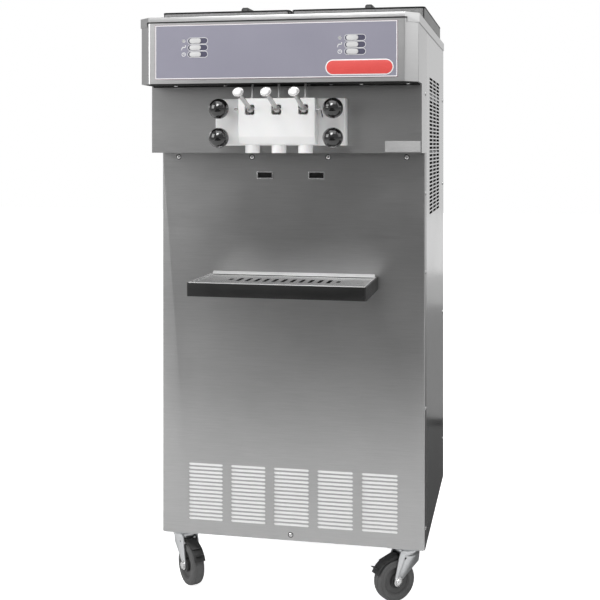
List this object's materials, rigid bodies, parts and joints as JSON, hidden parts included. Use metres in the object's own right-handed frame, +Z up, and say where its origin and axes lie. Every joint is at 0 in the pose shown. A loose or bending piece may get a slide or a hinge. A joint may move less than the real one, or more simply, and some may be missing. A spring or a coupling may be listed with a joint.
{
  "type": "soft-serve ice cream freezer",
  "caption": "Floor-standing twin-flavour soft-serve freezer on swivel casters, with hopper lids, a white freezer door with draw handles, control keys and a drip tray.",
  "frame": {"origin": "centre of the bounding box on the floor", "axes": "+X to the viewer's right when facing the dispensing side, +Y from the dispensing side to the rear, +Z up"},
  "size_m": [0.6636, 0.8844, 1.4738],
  "materials": {
    "skin_steel": "grained stainless sheet",
    "bright_steel": "bright stainless",
    "zinc_steel": "zinc-plated pressed steel",
    "cast_steel": "blasted cast stainless",
    "door_white": "satin white engineering plastic",
    "black_gloss": "gloss black moulding",
    "lid_grey": "textured dark grey moulding",
    "fascia_purple": "satin printed overlay",
    "key_white": "satin white key cap",
    "tyre_rubber": "dark moulded rubber wheel",
    "black_enamel": "black enamel",
    "filter_white": "white fibre filter mat",
    "gland_rubber": "black moulded gland"
  },
  "bodies": {
    "root": {"frame": "zinc_steel", "front_panel": "skin_steel", "left_side_panel": "skin_steel", "right_side_panel": "skin_steel", "rear_panel": "skin_steel", "cord_gland": "gland_rubber", "header_housing": "skin_steel", "control_fascia": "fascia_purple", "dispensing_panel": "skin_steel", "hopper_deck": "skin_steel", "freezing_barrels": "bright_steel", "left_gearmotor": "black_enamel", "right_gearmotor": "black_enamel", "compressor": "black_enamel", "condenser": "zinc_steel", "air_filter": "filter_white", "seal_drip_pan": "bright_steel", "tray_bracket": "bright_steel"},
    "left_lid": {"left_lid": "lid_grey"},
    "right_lid": {"right_lid": "lid_grey"},
    "left_beater": {"left_beater": "door_white"},
    "right_beater": {"right_beater": "door_white"},
    "condenser_fan": {"condenser_fan": "black_enamel"},
    "door": {"freezer_door": "door_white", "handle_pivot_rod": "bright_steel"},
    "tray": {"drip_tray": "black_gloss"},
    "grid": {"splash_grid": "bright_steel"},
    "knob_upper_left": {"door_knob_upper_left": "black_gloss"},
    "knob_lower_left": {"door_knob_lower_left": "black_gloss"},
    "knob_upper_right": {"door_knob_upper_right": "black_gloss"},
    "knob_lower_right": {"door_knob_lower_right": "black_gloss"},
    "handle_left": {"draw_handle_left": "cast_steel"},
    "valve_left": {"draw_valve_left": "door_white"},
    "switch_rod_left": {"switch_rod_left": "bright_steel"},
    "handle_centre": {"draw_handle_centre": "cast_steel"},
    "valve_centre": {"draw_valve_centre": "door_white"},
    "switch_rod_centre": {"switch_rod_centre": "bright_steel"},
    "handle_right": {"draw_handle_right": "cast_steel"},
    "valve_right": {"draw_valve_right": "door_white"},
    "switch_rod_right": {"switch_rod_right": "bright_steel"},
    "left_freeze_key": {"left_freeze_key": "key_white"},
    "left_serve_key": {"left_serve_key": "key_white"},
    "left_standby_key": {"left_standby_key": "key_white"},
    "right_freeze_key": {"right_freeze_key": "key_white"},
    "right_serve_key": {"right_serve_key": "key_white"},
    "right_standby_key": {"right_standby_key": "key_white"},
    "caster_front_right": {"caster_fork_front_right": "zinc_steel", "caster_axle_front_right": "bright_steel"},
    "wheel_front_right": {"caster_wheel_front_right": "tyre_rubber"},
    "pedal_front_right": {"brake_pedal_front_right": "black_enamel"},
    "caster_front_left": {"caster_fork_front_left": "zinc_steel", "caster_axle_front_left": "bright_steel"},
    "wheel_front_left": {"caster_wheel_front_left": "tyre_rubber"},
    "pedal_front_left": {"brake_pedal_front_left": "black_enamel"},
    "caster_rear_right": {"caster_fork_rear_right": "zinc_steel", "caster_axle_rear_right": "bright_steel"},
    "wheel_rear_right": {"caster_wheel_rear_right": "tyre_rubber"},
    "caster_rear_left": {"caster_fork_rear_left": "zinc_steel", "caster_axle_rear_left": "bright_steel"},
    "wheel_rear_left": {"caster_wheel_rear_left": "tyre_rubber"}
  },
  "joints": [
    {"name": "left_lid_lift", "type": "slide", "parent": "root", "child": "left_lid", "axis": [0, 0, 1], "range_m": [0, 0.12]},
    {"name": "right_lid_lift", "type": "slide", "parent": "root", "child": "right_lid", "axis": [0, 0, 1], "range_m": [0, 0.12]},
    {"name": "left_beater_spin", "type": "hinge", "parent": "root", "child": "left_beater", "pos_m": [-0.0637, 0, 1.16], "axis": [0, 1, 0], "continuous": true},
    {"name": "right_beater_spin", "type": "hinge", "parent": "root", "child": "right_beater", "pos_m": [0.0637, 0, 1.16], "axis": [0, 1, 0], "continuous": true},
    {"name": "fan_spin", "type": "hinge", "parent": "root", "child": "condenser_fan", "pos_m": [0, -0.1, 0.2193], "axis": [0, 1, 0], "continuous": true},
    {"name": "door_pull", "type": "slide", "parent": "root", "child": "door", "axis": [0, -1, 0], "range_m": [0, 0.14]},
    {"name": "knob_turn_upper_left", "type": "hinge", "parent": "door", "child": "knob_upper_left", "pos_m": [-0.1352, -0.33832, 1.1907], "axis": [0, -1, 0], "continuous": true},
    {"name": "knob_turn_lower_left", "type": "hinge", "parent": "door", "child": "knob_lower_left", "pos_m": [-0.1352, -0.33832, 1.123], "axis": [0, -1, 0], "continuous": true},
    {"name": "knob_turn_upper_right", "type": "hinge", "parent": "door", "child": "knob_upper_right", "pos_m": [0.1352, -0.33832, 1.1907], "axis": [0, -1, 0], "continuous": true},
    {"name": "knob_turn_lower_right", "type": "hinge", "parent": "door", "child": "knob_lower_right", "pos_m": [0.1352, -0.33832, 1.123], "axis": [0, -1, 0], "continuous": true},
    {"name": "draw_handle_left", "type": "hinge", "parent": "door", "child": "handle_left", "pos_m": [-0.0637, -0.32182, 1.19], "axis": [1, 0, 0], "range_deg": [0, 35]},
    {"name": "draw_valve_left", "type": "slide", "parent": "door", "child": "valve_left", "axis": [0, 0, 1], "range_m": [0, 0.0142]},
    {"name": "switch_rod_left", "type": "slide", "parent": "door", "child": "switch_rod_left", "axis": [0, 0, 1], "range_m": [0, 0.0142]},
    {"name": "draw_handle_centre", "type": "hinge", "parent": "door", "child": "handle_centre", "pos_m": [0, -0.32182, 1.19], "axis": [1, 0, 0], "range_deg": [0, 35]},
    {"name": "draw_valve_centre", "type": "slide", "parent": "door", "child": "valve_centre", "axis": [0, 0, 1], "range_m": [0, 0.0142]},
    {"name": "switch_rod_centre", "type": "slide", "parent": "door", "child": "switch_rod_centre", "axis": [0, 0, 1], "range_m": [0, 0.0142]},
    {"name": "draw_handle_right", "type": "hinge", "parent": "door", "child": "handle_right", "pos_m": [0.0637, -0.32182, 1.19], "axis": [1, 0, 0], "range_deg": [0, 35]},
    {"name": "draw_valve_right", "type": "slide", "parent": "door", "child": "valve_right", "axis": [0, 0, 1], "range_m": [0, 0.0142]},
    {"name": "switch_rod_right", "type": "slide", "parent": "door", "child": "switch_rod_right", "axis": [0, 0, 1], "range_m": [0, 0.0142]},
    {"name": "left_freeze_press", "type": "slide", "parent": "root", "child": "left_freeze_key", "axis": [0, 1, 0], "range_m": [0, 0.001], "stiffness_N_per_m": 400},
    {"name": "left_serve_press", "type": "slide", "parent": "root", "child": "left_serve_key", "axis": [0, 1, 0], "range_m": [0, 0.001], "stiffness_N_per_m": 400},
    {"name": "left_standby_press", "type": "slide", "parent": "root", "child": "left_standby_key", "axis": [0, 1, 0], "range_m": [0, 0.001], "stiffness_N_per_m": 400},
    {"name": "right_freeze_press", "type": "slide", "parent": "root", "child": "right_freeze_key", "axis": [0, 1, 0], "range_m": [0, 0.001], "stiffness_N_per_m": 400},
    {"name": "right_serve_press", "type": "slide", "parent": "root", "child": "right_serve_key", "axis": [0, 1, 0], "range_m": [0, 0.001], "stiffness_N_per_m": 400},
    {"name": "right_standby_press", "type": "slide", "parent": "root", "child": "right_standby_key", "axis": [0, 1, 0], "range_m": [0, 0.001], "stiffness_N_per_m": 400},
    {"name": "tray_pull", "type": "slide", "parent": "root", "child": "tray", "axis": [0, -1, 0], "range_m": [0, 0.12]},
    {"name": "grid_lift", "type": "slide", "parent": "tray", "child": "grid", "axis": [0, 0, 1], "range_m": [0, 0.06]},
    {"name": "caster_swivel_front_right", "type": "hinge", "parent": "root", "child": "caster_front_right", "pos_m": [0.284, -0.12732, 0.12], "axis": [0, 0, 1], "continuous": true},
    {"name": "wheel_spin_front_right", "type": "hinge", "parent": "caster_front_right", "child": "wheel_front_right", "pos_m": [0.25365, -0.15019, 0.0508], "axis": [0.6018, -0.7986, 0], "continuous": true},
    {"name": "brake_pedal_front_right", "type": "hinge", "parent": "caster_front_right", "child": "pedal_front_right", "pos_m": [0.26962, -0.13815, 0.1045], "axis": [0.6018, -0.7986, 0], "range_deg": [0, 3]},
    {"name": "caster_swivel_front_left", "type": "hinge", "parent": "root", "child": "caster_front_left", "pos_m": [-0.284, -0.12732, 0.12], "axis": [0, 0, 1], "continuous": true},
    {"name": "wheel_spin_front_left", "type": "hinge", "parent": "caster_front_left", "child": "wheel_front_left", "pos_m": [-0.25892, -0.15587, 0.0508], "axis": [0.7513, 0.66, 0], "continuous": true},
    {"name": "brake_pedal_front_left", "type": "hinge", "parent": "caster_front_left", "child": "pedal_front_left", "pos_m": [-0.27212, -0.14084, 0.1045], "axis": [0.7513, 0.66, 0], "range_deg": [0, 3]},
    {"name": "caster_swivel_rear_right", "type": "hinge", "parent": "root", "child": "caster_rear_right", "pos_m": [0.284, 0.39668, 0.12], "axis": [0, 0, 1], "continuous": true},
    {"name": "wheel_spin_rear_right", "type": "hinge", "parent": "caster_rear_right", "child": "wheel_rear_right", "pos_m": [0.26976, 0.36145, 0.0508], "axis": [0.9272, -0.3746, 0], "continuous": true},
    {"name": "caster_swivel_rear_left", "type": "hinge", "parent": "root", "child": "caster_rear_left", "pos_m": [-0.284, 0.39668, 0.12], "axis": [0, 0, 1], "continuous": true},
    {"name": "wheel_spin_rear_left", "type": "hinge", "parent": "caster_rear_left", "child": "wheel_rear_left", "pos_m": [-0.26854, 0.36197, 0.0508], "axis": [0.9135, 0.4067, 0], "continuous": true}
  ],
  "couplings": [
    {"joint": "draw_valve_left", "follows": "draw_handle_left", "m_per_rad": 0.02313},
    {"joint": "switch_rod_left", "follows": "draw_handle_left", "m_per_rad": 0.02313},
    {"joint": "draw_valve_centre", "follows": "draw_handle_centre", "m_per_rad": 0.02313},
    {"joint": "switch_rod_centre", "follows": "draw_handle_centre", "m_per_rad": 0.02313},
    {"joint": "draw_valve_right", "follows": "draw_handle_right", "m_per_rad": 0.02313},
    {"joint": "switch_rod_right", "follows": "draw_handle_right", "m_per_rad": 0.02313}
  ]
}
